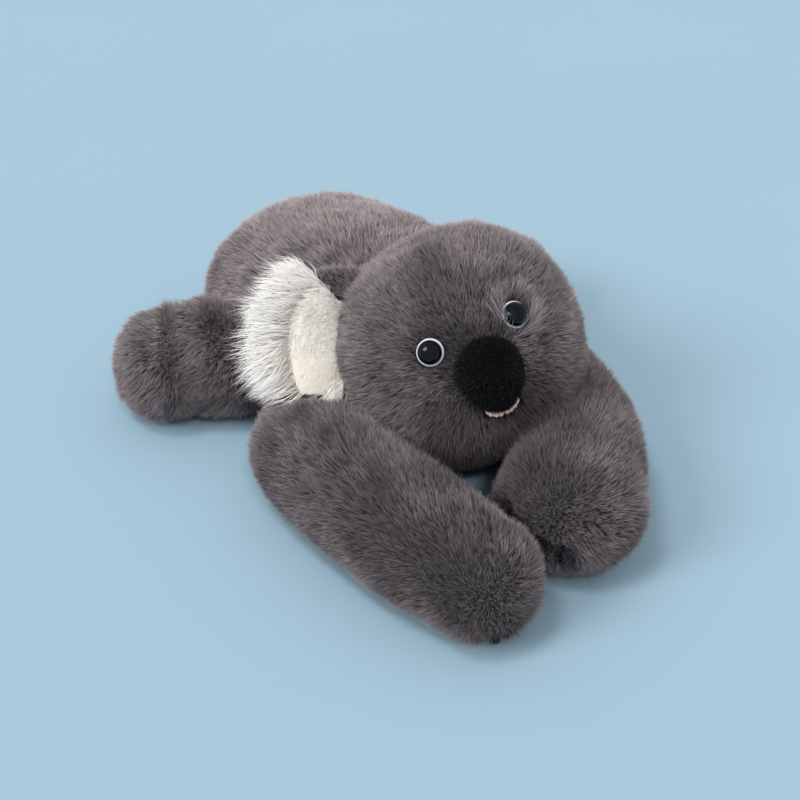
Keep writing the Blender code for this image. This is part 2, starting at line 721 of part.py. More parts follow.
def build_body(rest_frame, head_cup, ears, finishes):
    torso = add_object("torso", torso_mesh("torso", 0.0), rest_frame, finishes["fur"])
    floor_mesh = bpy.data.meshes.new("floor_cutter")
    work = bmesh.new()
    bmesh.ops.create_cube(work, size=4.0 * TORSO_LENGTH)
    work.to_mesh(floor_mesh)
    work.free()
    floor = add_object("floor_cutter", floor_mesh, rest_frame)
    floor.location.z = -2.0 * TORSO_LENGTH
    cut(torso, head_cup, floor)
    arm_cutters = []
    foot_spaces = {}
    ear_space_mesh = torso_mesh("torso_ear_space", EAR_TORSO_CLEARANCE)
    ear_spaces = [add_object("torso_ear_space", ear_space_mesh, rest_frame)]
    for side_name, side, shares, claws_deg in (
        ("right", -1, RIGHT_ARM_SHARES, RIGHT_CLAWS_DEG),
        ("left", 1, LEFT_ARM_SHARES, LEFT_CLAWS_DEG),
    ):
        name = side_name + "_arm"
        place = joint_place(side, SHOULDER_BACK, SHOULDER_RADIUS, SHOULDER_STAND)
        pivot = add_empty(side_name + "_shoulder_pivot", rest_frame, place)
        cup, spared = cup_and_spared_torso(name, pivot, SHOULDER_RADIUS, rest_frame)
        cut(torso, cup)
        arm = add_object(name, arm_mesh(name, side, shares, 0.0), pivot, finishes["fur"])
        cutter = add_object(name + "_cutter", arm_mesh(name + "_cutter", side, shares, GAP), pivot)
        cut_along(arm, (head_cup, spared), pivot, side * SHOULDER_SWING_DEG, rest_frame)
        cut(arm, floor)
        add_claws(name, pivot, side, shares, claws_deg, cutter, finishes["claw"])
        if arm_cutters:
            cut(arm, *arm_cutters)
        arm_cutters.append(cutter)
        foot_space_mesh = arm_mesh(name + "_foot_space", side, shares, SWING_CLEARANCE)
        foot_spaces[side_name] = add_object(name + "_foot_space", foot_space_mesh, pivot)
        spared_name = name + "_ear_space"
        spared_mesh = arm_mesh(spared_name, side, shares, EAR_CLEARANCE)
        ear_spaces.append(add_object(spared_name, spared_mesh, pivot))
    for pieces, swing_deg in ears:
        for piece in pieces:
            cut_along(piece, ear_spaces, piece.parent, swing_deg, rest_frame)
    hip_stand = HIP_RADIUS * math.sin(math.radians(HIP_SWING_DEG)) + CUP_RISE
    for side_name, side, splay_deg in (
        ("right", -1, RIGHT_SPLAY_DEG), ("left", 1, LEFT_SPLAY_DEG),
    ):
        name = side_name + "_leg"
        place = joint_place(side, HIP_BACK, HIP_RADIUS, hip_stand)
        pivot = add_empty(side_name + "_hip_pivot", rest_frame, place)
        cup, spared = cup_and_spared_torso(name, pivot, HIP_RADIUS, rest_frame)
        cut(torso, cup)
        leg = add_object(name, thigh_mesh(name, side, splay_deg, 0.0), pivot, finishes["fur"])
        cutter_mesh = thigh_mesh(name + "_cutter", side, splay_deg, GAP)
        cutter = add_object(name + "_cutter", cutter_mesh, pivot)
        cut_along(leg, (spared,), pivot, HIP_SWING_DEG, rest_frame)
        cut(leg, floor)
        foot_name = side_name + "_foot"
        foot = add_object(foot_name, foot_mesh(foot_name, side, splay_deg), pivot, finishes["fur"])
        arm_space = foot_spaces[side_name]
        arm_swing_deg = -side * SHOULDER_SWING_DEG
        cut_along(foot, (arm_space,), arm_space.parent, arm_swing_deg, rest_frame)
        cut(foot, cutter, floor)


def centre_on_ground(rest_frame):
    """Moves the whole toy so that the bottom centre of its box is the origin."""
    bpy.context.view_layer.update()
    graph = bpy.context.evaluated_depsgraph_get()
    points = []
    for piece in bpy.context.scene.objects:
        if piece.type == "MESH" and not piece.hide_render:
            shown = piece.evaluated_get(graph)
            points += [shown.matrix_world @ vertex.co for vertex in shown.data.vertices]
    lows = [min(point[axis] for point in points) for axis in range(3)]
    highs = [max(point[axis] for point in points) for axis in range(3)]
    rest_frame.location = (
        -0.5 * (lows[0] + highs[0]), -0.5 * (lows[1] + highs[1]), -lows[2],
    )


def main():
    clear_scene()
    finishes = {
        "fur": material("grey_fur", (0.100, 0.088, 0.096), 0.95),
        "ear": material("white_long_fur", (0.80, 0.76, 0.72), 0.95),
        "lining": material("cream_lining", (0.82, 0.76, 0.66), 0.90),
        "nose": material("black_pile", (0.006, 0.005, 0.006), 0.85),
        "mouth": material("cream_felt", (0.72, 0.52, 0.44), 0.90),
        "eye": material("black_gloss", (0.004, 0.004, 0.004), 0.08),
        "rim": material("white_plastic", (0.78, 0.78, 0.80), 0.30),
        "washer": material("washer_plastic", (0.62, 0.62, 0.62), 0.45),
        "claw": material("black_thread", (0.008, 0.008, 0.009), 0.55),
    }
    rest_frame = add_empty("rest_frame", None, Matrix.Identity(4))
    head_cup, ears = build_head(rest_frame, finishes)
    build_body(rest_frame, head_cup, ears, finishes)
    centre_on_ground(rest_frame)


main()
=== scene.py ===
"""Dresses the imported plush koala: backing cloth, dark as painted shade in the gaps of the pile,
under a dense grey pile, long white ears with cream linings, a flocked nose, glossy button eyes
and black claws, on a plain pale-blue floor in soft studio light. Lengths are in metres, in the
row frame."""

import json
import math

import bmesh
import bpy
import numpy as np
from mathutils import Matrix, Vector
from mathutils.bvhtree import BVHTree
from mathutils.kdtree import KDTree


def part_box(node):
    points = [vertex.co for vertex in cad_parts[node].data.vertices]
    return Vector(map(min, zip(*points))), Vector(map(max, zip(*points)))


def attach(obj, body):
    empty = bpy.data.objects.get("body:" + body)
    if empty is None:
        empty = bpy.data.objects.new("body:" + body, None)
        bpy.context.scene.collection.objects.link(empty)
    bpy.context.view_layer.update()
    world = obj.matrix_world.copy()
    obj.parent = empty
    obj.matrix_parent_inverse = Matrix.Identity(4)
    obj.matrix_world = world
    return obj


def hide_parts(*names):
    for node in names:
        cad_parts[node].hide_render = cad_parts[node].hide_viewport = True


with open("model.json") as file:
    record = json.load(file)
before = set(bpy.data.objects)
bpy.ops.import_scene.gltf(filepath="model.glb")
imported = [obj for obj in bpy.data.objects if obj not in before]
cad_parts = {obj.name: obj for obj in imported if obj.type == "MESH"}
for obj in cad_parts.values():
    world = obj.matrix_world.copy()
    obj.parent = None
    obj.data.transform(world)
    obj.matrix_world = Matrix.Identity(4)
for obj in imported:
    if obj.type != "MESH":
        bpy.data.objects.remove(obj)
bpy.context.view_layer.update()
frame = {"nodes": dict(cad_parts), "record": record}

MM = 0.001
SHARP_COS = math.cos(math.radians(40))
SOFT_NODES = (
    "torso", "head", "right_ear", "left_ear", "right_arm", "left_arm",
    "right_leg", "left_leg", "right_foot", "left_foot",
)
BODY_OF = {
    node: body
    for body, nodes in frame["record"]["behaviour"]["bodies"].items()
    for node in nodes
}


def linear(red, green, blue):
    """A screen colour, 0 to 255, as the linear colour that a shader takes."""
    share = np.array([red, green, blue]) / 255
    low = share / 12.92
    high = ((share + 0.055) / 1.055) ** 2.4
    return (*np.where(share <= 0.04045, low, high).tolist(), 1.0)


# Materials


class Shader:
    """A Principled material and short ways to add its nodes."""

    def __init__(self, name, **sockets):
        self.material = bpy.data.materials.new(name)
        self.material.use_nodes = True
        self.tree = self.material.node_tree
        self.out = self.tree.nodes["Principled BSDF"]
        for socket, value in sockets.items():
            self.out.inputs[socket.replace("_", " ")].default_value = value

    def node(self, kind, links=(), **settings):
        made = self.tree.nodes.new(kind)
        for key, value in settings.items():
            setattr(made, key, value)
        for socket, source in dict(links).items():
            if isinstance(source, bpy.types.NodeSocket):
                self.tree.links.new(source, made.inputs[socket])
            else:
                made.inputs[socket].default_value = source
        return made

    def ramp(self, factor, *stops):
        made = self.node("ShaderNodeValToRGB", {"Fac": factor})
        ramp = made.color_ramp
        while len(ramp.elements) < len(stops):
            ramp.elements.new(0.5)
        for element, (place, colour) in zip(ramp.elements, stops):
            element.position = place
            element.color = colour
        return made.outputs["Color"]

    def mix(self, factor, a, b, blend="MIX"):
        made = self.node("ShaderNodeMix", data_type="RGBA", blend_type=blend)
        for index, source in ((0, factor), (6, a), (7, b)):
            if isinstance(source, bpy.types.NodeSocket):
                self.tree.links.new(source, made.inputs[index])
            else:
                made.inputs[index].default_value = source
        return made.outputs[2]

    def noise(self, scale, detail=4.0, vector=None):
        links = {"Scale": scale, "Detail": detail}
        if vector is None:
            vector = self.node("ShaderNodeTexCoord").outputs["Object"]
        links["Vector"] = vector
        return self.node("ShaderNodeTexNoise", links).outputs["Fac"]

    def spread(self, value, low, high, start=0.3, end=0.7):
        links = {
            "Value": value,
            "From Min": start,
            "From Max": end,
            "To Min": low,
            "To Max": high,
        }
        return self.node("ShaderNodeMapRange", links).outputs["Result"]

    def bump(self, height, distance, strength=1.0):
        links = {"Height": height, "Distance": distance, "Strength": strength}
        made = self.node("ShaderNodeBump", links)
        self.use("Normal", made.outputs["Normal"])

    def use(self, socket, source):
        self.tree.links.new(source, self.out.inputs[socket])


def pile_material(name, dark, light, rough=(0.85, 0.6), sheen=0.25, fleck=0.86):
    """Pile strands: the Strand map holds a strand's shade across and its length upwards."""
    made = Shader(name, Sheen_Weight=sheen, Sheen_Roughness=0.4)
    made.out.inputs["Specular IOR Level"].default_value = 0.25
    strand = made.node("ShaderNodeUVMap", uv_map="Strand").outputs["UV"]
    split = made.node("ShaderNodeSeparateXYZ", {"Vector": strand})
    shade, along = split.outputs["X"], split.outputs["Y"]
    deep = made.ramp(along, *dark)
    pale = made.ramp(along, *light)
    stretched = made.node(
        "ShaderNodeVectorMath", {0: strand, 1: (90.0, 5.0, 1.0)}, operation="MULTIPLY"
    )
    flecks = made.noise(1.0, 2.0, stretched.outputs["Vector"])
    tint = made.ramp(flecks, (0.3, (fleck, fleck, fleck, 1)), (0.7, (1.0, 1.0, 1.0, 1)))
    colour = made.mix(shade, deep, pale)
    made.use("Base Color", made.mix(1.0, colour, tint, "MULTIPLY"))
    made.use("Roughness", made.spread(along, rough[0], rough[1], 0.2, 1.0))
    return made.material


def cloth_material(name, dark, light, scale, bump, **sockets):
    """A knitted or flocked cloth: patches of colour, a fine grain, and roughness with it."""
    made = Shader(name, **sockets)
    grain = made.noise(scale, 3.0)
    patches = made.noise(scale / 40, 2.0)
    both = made.node("ShaderNodeMath", {0: grain, 1: patches}, operation="ADD")
    half = made.spread(both.outputs["Value"], 0.0, 1.0, 0.7, 1.3)
    made.use("Base Color", made.ramp(half, (0.0, dark), (1.0, light)))
    made.use("Roughness", made.spread(grain, 0.95, 0.8))
    made.bump(grain, bump)
    return made.material


def gloss_material(name, dark, light, rough, scale, bump, **sockets):
    """A moulded or threaded glossy surface with faint clouding and handling marks."""
    made = Shader(name, **sockets)
    marks = made.noise(scale, 4.0)
    made.use("Base Color", made.ramp(marks, (0.3, dark), (0.7, light)))
    made.use("Roughness", made.spread(marks, rough[0], rough[1]))
    made.bump(marks, bump)
    return made.material


# Each ramp runs from a strand's root to its tip. The darker roots are partly the pile's own
# colour and partly painted shade deep in the pile.
GREY_DARK = (
    (0.0, linear(52, 47, 52)),
    (0.45, linear(86, 79, 85)),
    (0.8, linear(110, 102, 107)),
    (1.0, linear(128, 119, 121)),
)
GREY_LIGHT = (
    (0.0, linear(90, 82, 88)),
    (0.45, linear(150, 140, 146)),
    (0.8, linear(196, 184, 186)),
    (1.0, linear(228, 214, 207)),
)
WHITE_DARK = (
    (0.0, linear(248, 240, 231)),
    (0.5, linear(251, 247, 242)),
    (1.0, linear(253, 250, 247)),
)
WHITE_LIGHT = (
    (0.0, linear(252, 247, 241)),
    (0.5, linear(254, 252, 249)),
    (1.0, linear(255, 254, 253)),
)
CREAM_DARK = (
    (0.0, linear(246, 237, 223)),
    (0.5, linear(250, 243, 232)),
    (1.0, linear(252, 247, 239)),
)
CREAM_LIGHT = (
    (0.0, linear(250, 243, 230)),
    (0.5, linear(253, 248, 239)),
    (1.0, linear(255, 252, 246)),
)
BLACK_DARK = (
    (0.0, linear(3, 3, 3)),
    (0.5, linear(6, 5, 6)),
    (1.0, linear(14, 12, 14)),
)
BLACK_LIGHT = (
    (0.0, linear(6, 5, 6)),
    (0.5, linear(20, 18, 20)),
    (1.0, linear(104, 93, 99)),
)
grey_pile = pile_material("grey_pile", GREY_DARK, GREY_LIGHT)
white_pile = pile_material("white_pile", WHITE_DARK, WHITE_LIGHT, (0.8, 0.6), 1.0, 0.97)
cream_pile = pile_material("cream_pile", CREAM_DARK, CREAM_LIGHT, (0.9, 0.7), 0.8, 0.97)
black_pile = pile_material("black_pile", BLACK_DARK, BLACK_LIGHT, (0.95, 0.8), 0.0)
# The backing is a real cloth, but its dark colour is painted shade that shows in the gaps between
# tufts.
grey_backing_painted_shade = cloth_material(
    "grey_backing_painted_shade", linear(44, 39, 43), linear(58, 52, 56), 900.0, 0.0004
)
white_backing = cloth_material(
    "white_backing", linear(246, 240, 233), linear(252, 249, 246), 900.0, 0.0002
)
cream_plush = cloth_material(
    "cream_plush", linear(251, 245, 235), linear(255, 252, 246), 1400.0, 0.0003,
    Sheen_Weight=0.8, Sheen_Roughness=0.5,
)
nose_flock = cloth_material(
    "nose_flock", linear(3, 3, 3), linear(7, 6, 7), 2200.0, 0.0004,
    Specular_IOR_Level=0.1,
)
mouth_felt = cloth_material(
    "mouth_felt", linear(246, 218, 198), linear(254, 238, 222), 1500.0, 0.0004,
    Sheen_Weight=0.2, Sheen_Roughness=0.5,
)
eye_black = gloss_material(
    "eye_black", linear(4, 3, 4), linear(9, 8, 8), (0.05, 0.09), 160.0, 0.00001,
    Specular_IOR_Level=0.0, Coat_Weight=1.0, Coat_IOR=1.34, Coat_Roughness=0.04,
)
rim_white = gloss_material(
    "rim_white", linear(206, 204, 214), linear(228, 226, 234), (0.25, 0.4), 500.0, 0.00003
)
washer_plastic = gloss_material(
    "washer_plastic", linear(190, 188, 180), linear(214, 212, 204), (0.45, 0.6), 400.0, 0.0001
)
claw_black = gloss_material(
    "claw_black", linear(7, 6, 7), linear(26, 23, 26), (0.25, 0.5), 1200.0, 0.0005
)


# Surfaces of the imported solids


class Surface:
    """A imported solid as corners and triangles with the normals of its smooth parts."""

    def __init__(self, node):
        mesh = frame["nodes"][node].data
        points = np.empty(len(mesh.vertices) * 3)
        mesh.vertices.foreach_get("co", points)
        mesh.calc_loop_triangles()
        faces = np.empty(len(mesh.loop_triangles) * 3, int)
        mesh.loop_triangles.foreach_get("vertices", faces)
        points, same = np.unique(
            np.round(points.reshape(-1, 3), 6), axis=0, return_inverse=True
        )
        faces = same.reshape(-1)[faces].reshape(-1, 3)
        a, b, c = points[faces].transpose(1, 0, 2)
        cross = np.cross(b - a, c - a)
        kept = np.linalg.norm(cross, axis=1) > 1e-12
        self.points, self.faces, cross = points, faces[kept], cross[kept]
        self.doubled = np.linalg.norm(cross, axis=1)
        unit = cross / self.doubled[:, None]
        around = [[] for _ in points]
        for face, corners in enumerate(self.faces):
            for corner in corners:
                around[corner].append(face)
        self.normals = np.empty((len(self.faces), 3, 3))
        for face, corners in enumerate(self.faces):
            for place, corner in enumerate(corners):
                near = np.array(around[corner])
                near = near[unit[near] @ unit[face] > SHARP_COS]
                self.normals[face, place] = cross[near].sum(0)
        self.normals /= np.linalg.norm(self.normals, axis=2, keepdims=True)
        self.tree = BVHTree.FromPolygons(self.points.tolist(), self.faces.tolist())

    def rounded(self, face, share):
        """Points at those shares of those faces, on the surface rounded by its normals."""
        corners = self.points[self.faces[face]]
        normals = self.normals[face]
        flat = (corners * share[:, :, None]).sum(1)
        off = ((flat[:, None] - corners) * normals).sum(2, keepdims=True) * normals
        bent = ((flat[:, None] - off) * share[:, :, None]).sum(1)
        normal = (normals * share[:, :, None]).sum(1)
        normal /= np.linalg.norm(normal, axis=1, keepdims=True)
        return flat * 0.25 + bent * 0.75, normal

    def scatter(self, spacing, draw):
        """Evenly spread random points and their normals."""
        count = int(self.doubled.sum() / 2 / spacing**2 * 3.2)
        face = draw.choice(len(self.faces), count, p=self.doubled / self.doubled.sum())
        share = draw.dirichlet((1, 1, 1), count)
        points, normals = self.rounded(face, share)
        tree = KDTree(count)
        for index, point in enumerate(points):
            tree.insert(point, index)
        tree.balance()
        alive = np.ones(count, bool)
        for index, point in enumerate(points):
            if alive[index]:
                for _, other, _ in tree.find_range(point, spacing * 0.86):
                    if other > index:
                        alive[other] = False
        return points[alive], normals[alive]


surfaces = {node: Surface(node) for node in frame["nodes"]}


def beside_others(node, points, normals, reach, crease):
    """Which points have no other piece close above them, and how near the next one is."""
    low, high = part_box(node)
    others = []
    for other, surface in surfaces.items():
        a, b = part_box(other)
        near = all(a[i] - crease < high[i] and low[i] < b[i] + crease for i in range(3))
        if other != node and near:
            others.append(surface.tree)
    free = np.ones(len(points), bool)
    gaps = np.full(len(points), crease)
    for index, (point, normal) in enumerate(zip(points, normals)):
        start, way = Vector(point), Vector(normal)
        for tree in others:
            if tree.ray_cast(start, way, reach)[0] is not None:
                free[index] = False
                break
            gap = tree.find_nearest(start, gaps[index])[3]
            if gap is not None:
                gaps[index] = gap
    return free, 1 - gaps / crease


def unit_rows(rows):
    return rows / np.maximum(np.linalg.norm(rows, axis=1, keepdims=True), 1e-12)


def smooth_waves(points, draw, length, count=6):
    """A smooth random value from -1 to 1 at each point, with waves of about that length."""
    total = np.zeros(len(points))
    for _ in range(count):
        way = unit_rows(draw.normal(size=(1, 3)))[0]
        wave = length * draw.uniform(0.7, 1.4)
        total += np.sin(points @ way * (2 * math.pi / wave) + draw.uniform(0, 2 * math.pi))
    return total / math.sqrt(count)


def centre_of(node):
    low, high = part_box(node)
    return np.array((low + high) / 2)


def own_axes(node):
    """The middle of a node and its long, middle and short axes."""
    points = surfaces[node].points
    return centre_of(node), np.linalg.svd(points - points.mean(0), full_matrices=False)[2]


# Pile


def mesh_object(name, points, faces_of, maps=None):
    """A mesh object from numpy points and a list of (corners per face, face corners)."""
    mesh = bpy.data.meshes.new(name)
    mesh.vertices.add(len(points))
    mesh.vertices.foreach_set("co", points.astype(np.float32).ravel())
    loops = np.concatenate([faces.ravel() for faces in faces_of])
    sizes = np.concatenate([np.full(len(f), f.shape[1]) for f in faces_of])
    mesh.loops.add(len(loops))
    mesh.loops.foreach_set("vertex_index", loops.astype(np.int32))
    mesh.polygons.add(len(sizes))
    starts = np.concatenate([[0], np.cumsum(sizes)[:-1]])
    mesh.polygons.foreach_set("loop_start", starts.astype(np.int32))
    mesh.polygons.foreach_set("use_smooth", np.ones(len(sizes), bool))
    for label, places in (maps or {}).items():
        layer = mesh.uv_layers.new(name=label)
        layer.data.foreach_set("uv", places[loops].astype(np.float32).ravel())
    mesh.update(calc_edges=True)
    mesh.validate()
    made = bpy.data.objects.new(name, mesh)
    bpy.context.scene.collection.objects.link(made)
    return made


class Coat:
    """How a pile stands. A tuft has so many strands, which lean by so many degrees and gather
    towards its middle. Depth is how far their roots lie below the surface, crease how much longer
    they are where pieces meet, roll how unlike they face, lift how far they face the light."""

    def __init__(self, spacing, strands, length, lean, width, gather, **more):
        self.spacing = spacing
        self.strands = strands
        self.length = length
        self.lean = lean
        self.width = width
        self.gather = gather
        self.depth = more.get("depth", 5 * MM)
        self.roll = more.get("roll", 0.6)
        self.crease = more.get("crease", 0.0)
        self.material = more.get("material", grey_pile)
        self.slot = more.get("slot", "fur")
        self.shade = more.get("shade", 0.45)
        self.waves = more.get("waves", 0.22)
        self.droop = more.get("droop", 0.0)
        self.lift = more.get("lift", 0.0)


CREASE = 16 * MM
REACH = 5 * MM
FLAT_BELOW = 4 * MM
LOWEST_STRAND = 0.4 * MM
LOWEST_CLOTH = 0.8 * MM
SHADES = 64
TO_LIGHT = (-0.6, -0.1, 0.8)
GREY_SPACING = 2.1 * MM
GREY_WIDTH = 0.42 * MM
GREY_GATHER = 0.08
PLAIN_COAT = Coat(
    GREY_SPACING, 7, 11 * MM, 30, GREY_WIDTH, GREY_GATHER, roll=0.35, crease=0.45
)
# The arms' pile has a darker shade: painted shade where the head shades them.
ARM_COAT = Coat(
    GREY_SPACING, 6, 11 * MM, 27, 0.45 * MM, GREY_GATHER, roll=0.45, crease=0.45, shade=0.33
)
HIND_COAT = Coat(
    GREY_SPACING, 7, 11.5 * MM, 34, GREY_WIDTH, GREY_GATHER, roll=0.35, crease=0.7
)
# The ear's back pile has a paler shade: painted light where the head shades it.
BACK_COAT = Coat(
    GREY_SPACING, 7, 8 * MM, 44, GREY_WIDTH, GREY_GATHER, roll=0.35, shade=0.8, depth=1.5 * MM
)
EAR_COAT = Coat(
    2.2 * MM, 7, 32 * MM, 78, 0.5 * MM, 0.36, depth=1.2 * MM,
    material=white_pile, slot="ear", shade=0.95, waves=0.16, droop=0.12, roll=0.08, lift=1.6,
)
LINING_COAT = Coat(
    1.6 * MM, 3, 3.5 * MM, 74, 0.3 * MM, 0.2, depth=0.3 * MM,
    material=cream_pile, slot="lining", shade=0.9, waves=0.2, roll=0.1, lift=1.4,
)
TUFT_COAT = Coat(
    2.4 * MM, 7, 11 * MM, 80, 0.4 * MM, 0.2, depth=0.3 * MM,
    material=white_pile, slot="ear", shade=0.9, waves=0.2, droop=0.08, roll=0.1, lift=1.4,
)
NOSE_COAT = Coat(
    1.5 * MM, 4, 2.8 * MM, 30, 0.4 * MM, 0.3, depth=0.6 * MM,
    material=black_pile, slot="nose", shade=0.4, waves=0.5,
)


def grow(name, node, coat, flow, seed, keep=None, shorten=None, painted_light_and_shade=None, tilt=None):
    """A pile piece on a node. flow(points) gives the way the strands lean."""
    draw = np.random.default_rng(seed)
    points, normals = surfaces[node].scatter(coat.spacing, draw)
    free, crease = beside_others(node, points, normals, REACH, CREASE)
    free &= ~((normals[:, 2] < -0.5) & (points[:, 2] < FLAT_BELOW))
    if keep is not None:
        free &= keep(points, normals)
    points, normals, crease = points[free], normals[free], crease[free]
    count, strands = len(points), coat.strands
    way = flow(points)
    wander = np.stack(
        [
            smooth_waves(points, draw, 30 * MM) + 0.4 * smooth_waves(points, draw, 9 * MM)
            for _ in range(3)
        ],
        1,
    )
    way = unit_rows(way) + coat.waves * wander
    way -= (way * normals).sum(1, keepdims=True) * normals
    way = unit_rows(way)
    side = np.cross(normals, way)
    lean = np.radians(coat.lean + draw.normal(0, 5, count) + 6 * wander[:, 0])
    if tilt is not None:
        lean += np.radians(tilt(points))
    length = coat.length * (1 + 0.10 * smooth_waves(points, draw, 22 * MM))
    length *= draw.uniform(0.85, 1.1, count) * (1 + coat.crease * crease)
    if shorten is not None:
        length *= shorten(points)
    shade = coat.shade + 0.13 * smooth_waves(points, draw, 45 * MM)
    shade += 0.06 * smooth_waves(points, draw, 8 * MM) + draw.normal(0, 0.06, count)
    # Painted light and shade from a strand's place and facing are added to its shade here.
    if painted_light_and_shade is not None:
        shade += painted_light_and_shade(points, normals)

    def each(rows):
        return np.repeat(rows, strands, axis=0)

    total = count * strands
    points, normals, way, side = each(points), each(normals), each(way), each(side)
    lean, length, shade = each(lean), each(length), each(shade)
    turn = draw.uniform(0, 2 * math.pi, total)
    out = coat.spacing * 0.75 * np.sqrt(draw.uniform(0, 1, total))
    offset = way * (out * np.cos(turn))[:, None] + side * (out * np.sin(turn))[:, None]
    length = length * draw.uniform(0.72, 1.0, total)
    lean = lean + np.radians(draw.normal(0, 7, total))
    twist = np.radians(draw.normal(0, 14, total))
    heading = way * np.cos(twist)[:, None] + side * np.sin(twist)[:, None]
    root = points + offset - normals * coat.depth
    early = lean * 0.55
    rise = normals * np.cos(early)[:, None] + heading * np.sin(early)[:, None]
    middle = root + rise * (length * 0.5)[:, None] - offset * (coat.gather * 0.35)
    late = lean * 1.3
    rise = normals * np.cos(late)[:, None] + heading * np.sin(late)[:, None]
    rise[:, 2] -= coat.droop
    tip = middle + unit_rows(rise) * (length * 0.5)[:, None] - offset * coat.gather
    facing = normals * (1 - coat.roll) + draw.normal(size=(total, 3)) * coat.roll * 0.6
    facing += coat.lift * np.array(TO_LIGHT)
    across = unit_rows(np.cross(tip - root, facing))
    thick = coat.width * draw.uniform(0.75, 1.2, total)[:, None]
    rows = np.stack(
        [
            root - across * thick * 0.5,
            root + across * thick * 0.5,
            middle - across * thick * 0.42,
            middle + across * thick * 0.42,
            tip,
        ],
        1,
    ).reshape(-1, 3)
    rows[:, 2] = np.maximum(rows[:, 2], LOWEST_STRAND)
    first = np.arange(total)[:, None] * 5
    quads = first + np.array([[0, 1, 3, 2]])
    peaks = first + np.array([[2, 3, 4]])
    last = SHADES - 1
    cell = np.clip(np.round(shade * last + draw.normal(0, 6, total)), 0, last)
    left, right = (cell + 0.2) / SHADES, (cell + 0.8) / SHADES
    across_map = np.stack([left, right, left, right, (left + right) / 2], 1)
    along_map = np.tile([0.0, 0.0, 0.5, 0.5, 1.0], (total, 1))
    places = np.stack([across_map, along_map], 2).reshape(-1, 2)
    made = mesh_object(name, rows, [quads, peaks], {"Strand": places, "OFBake": places})
    made.data.materials.append(coat.material)
    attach(made, BODY_OF[node])
    print("pile", name, total)
    return made


def backing(name, node, inset, material, other=None, where=None):
    """The cloth that a pile stands on: the node's surface moved inwards, as a closed form.
    Where where(points, normals) is false it has the other material."""
    surface = surfaces[node]
    normal = np.zeros_like(surface.points)
    for place in range(3):
        weighted = surface.normals[:, place] * surface.doubled[:, None]
        np.add.at(normal, surface.faces[:, place], weighted)
    points = surface.points - unit_rows(normal) * inset
    points[:, 2] = np.maximum(points[:, 2], LOWEST_CLOTH)
    made = mesh_object(name, points, [surface.faces])
    rounding = made.modifiers.new("rounded", "SUBSURF")
    rounding.levels = rounding.render_levels = 1
    made.data.materials.append(material)
    if other is not None:
        made.data.materials.append(other)
        middles = surface.points[surface.faces].mean(1)
        plain = where(middles, unit_rows(surface.normals.mean(1)))
        made.data.polygons.foreach_set("material_index", (~plain).astype(np.int32))
    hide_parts(node)
    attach(made, BODY_OF[node])
    return made


SIDES = ("right", "left")
CLAWS = (1, 2, 3, 4)
NOSE = centre_of("nose")
EYES = [centre_of("right_eye"), centre_of("left_eye")]
EAR_FOOT = centre_of("right_ear_lining") - [0, 0, 22 * MM]
CHIN = centre_of("mouth") - [0, 0, 45 * MM]
PAWS = [centre_of(f"{side}_arm_claw_2") for side in SIDES]
ALL_CLAWS = [centre_of(f"{side}_arm_claw_{number}") for side in SIDES for number in CLAWS]

# Each pair: within the first distance of its place in full, and beyond the second not at all
ROUND_RIGHT_EYE = (9 * MM, 20 * MM)
ROUND_LEFT_EYE = (12 * MM, 18 * MM)
LEFT_EYE_TILT = (12 * MM, 20 * MM)
ROUND_NOSE = (26 * MM, 48 * MM)
ROUND_CLAWS = (8 * MM, 17 * MM)
ROUND_EAR_FOOT = (26 * MM, 46 * MM)
BELOW_CHIN = (34 * MM, 90 * MM)
ROUND_PAWS = (24 * MM, 80 * MM)
EAR_ROOT_TO_RIM = (44 * MM, 84 * MM)


def nearness(points, places, start, end):
    """0 within start of any of the places, 1 beyond end, and between."""
    gap = np.min([np.linalg.norm(points - place, axis=1) for place in places], 0)
    share = np.clip((gap - start) / (end - start), 0, 1)
    return share * share * (3 - 2 * share)


def away_from(place, pull=(0, 0, 0)):
    def flow(points):
        return unit_rows(points - place) + np.array(pull)

    return flow


def along(way):
    return lambda points: np.tile(unit_rows(np.array([way], float)), (len(points), 1))


def trim_face(points):
    """The pile is shorter round the right eye and the nose, and laps over the left eye's ring."""
    right = 0.32 + 0.68 * nearness(points, EYES[:1], *ROUND_RIGHT_EYE)
    nose = 0.55 + 0.45 * nearness(points, [NOSE], *ROUND_NOSE)
    left = 1 - nearness(points, EYES[1:], *ROUND_LEFT_EYE)
    return right * (nose + (1.75 - nose) * left)


def tilt_face(points):
    """Round the left eye the pile leans over the ring."""
    return 46 * (1 - nearness(points, EYES[1:], *LEFT_EYE_TILT))


def trim_paw(points):
    """The pile is short where the claws come out of it and where the right ear rests on it."""
    short = 0.1 + 0.9 * nearness(points, ALL_CLAWS, *ROUND_CLAWS)
    return short * (0.5 + 0.5 * nearness(points, [EAR_FOOT], *ROUND_EAR_FOOT))


def painted_light_on_top(points, normals):
    """Painted light: paler strands on the top of the back and the hind legs, where light falls
    from above, as the photograph has them.
    """
    return 0.02 + 0.62 * np.clip(normals[:, 2], 0, 1) ** 3.5


def painted_shade_under_chin(points, normals):
    """Painted shade: darker strands below the chin, where the photograph is in deep shade."""
    return -0.75 * (1 - nearness(points, [CHIN], *BELOW_CHIN))


def painted_shade_and_light_on_arm(points, normals):
    """Painted shade and light: darker strands below the chin and paler ones on the tops of the
    paws, as the photograph has them.
    """
    round_paw = 1 - nearness(points, PAWS, *ROUND_PAWS)
    return painted_shade_under_chin(points, normals) + 0.3 * round_paw * np.clip(normals[:, 2] + 0.4, 0, 1)


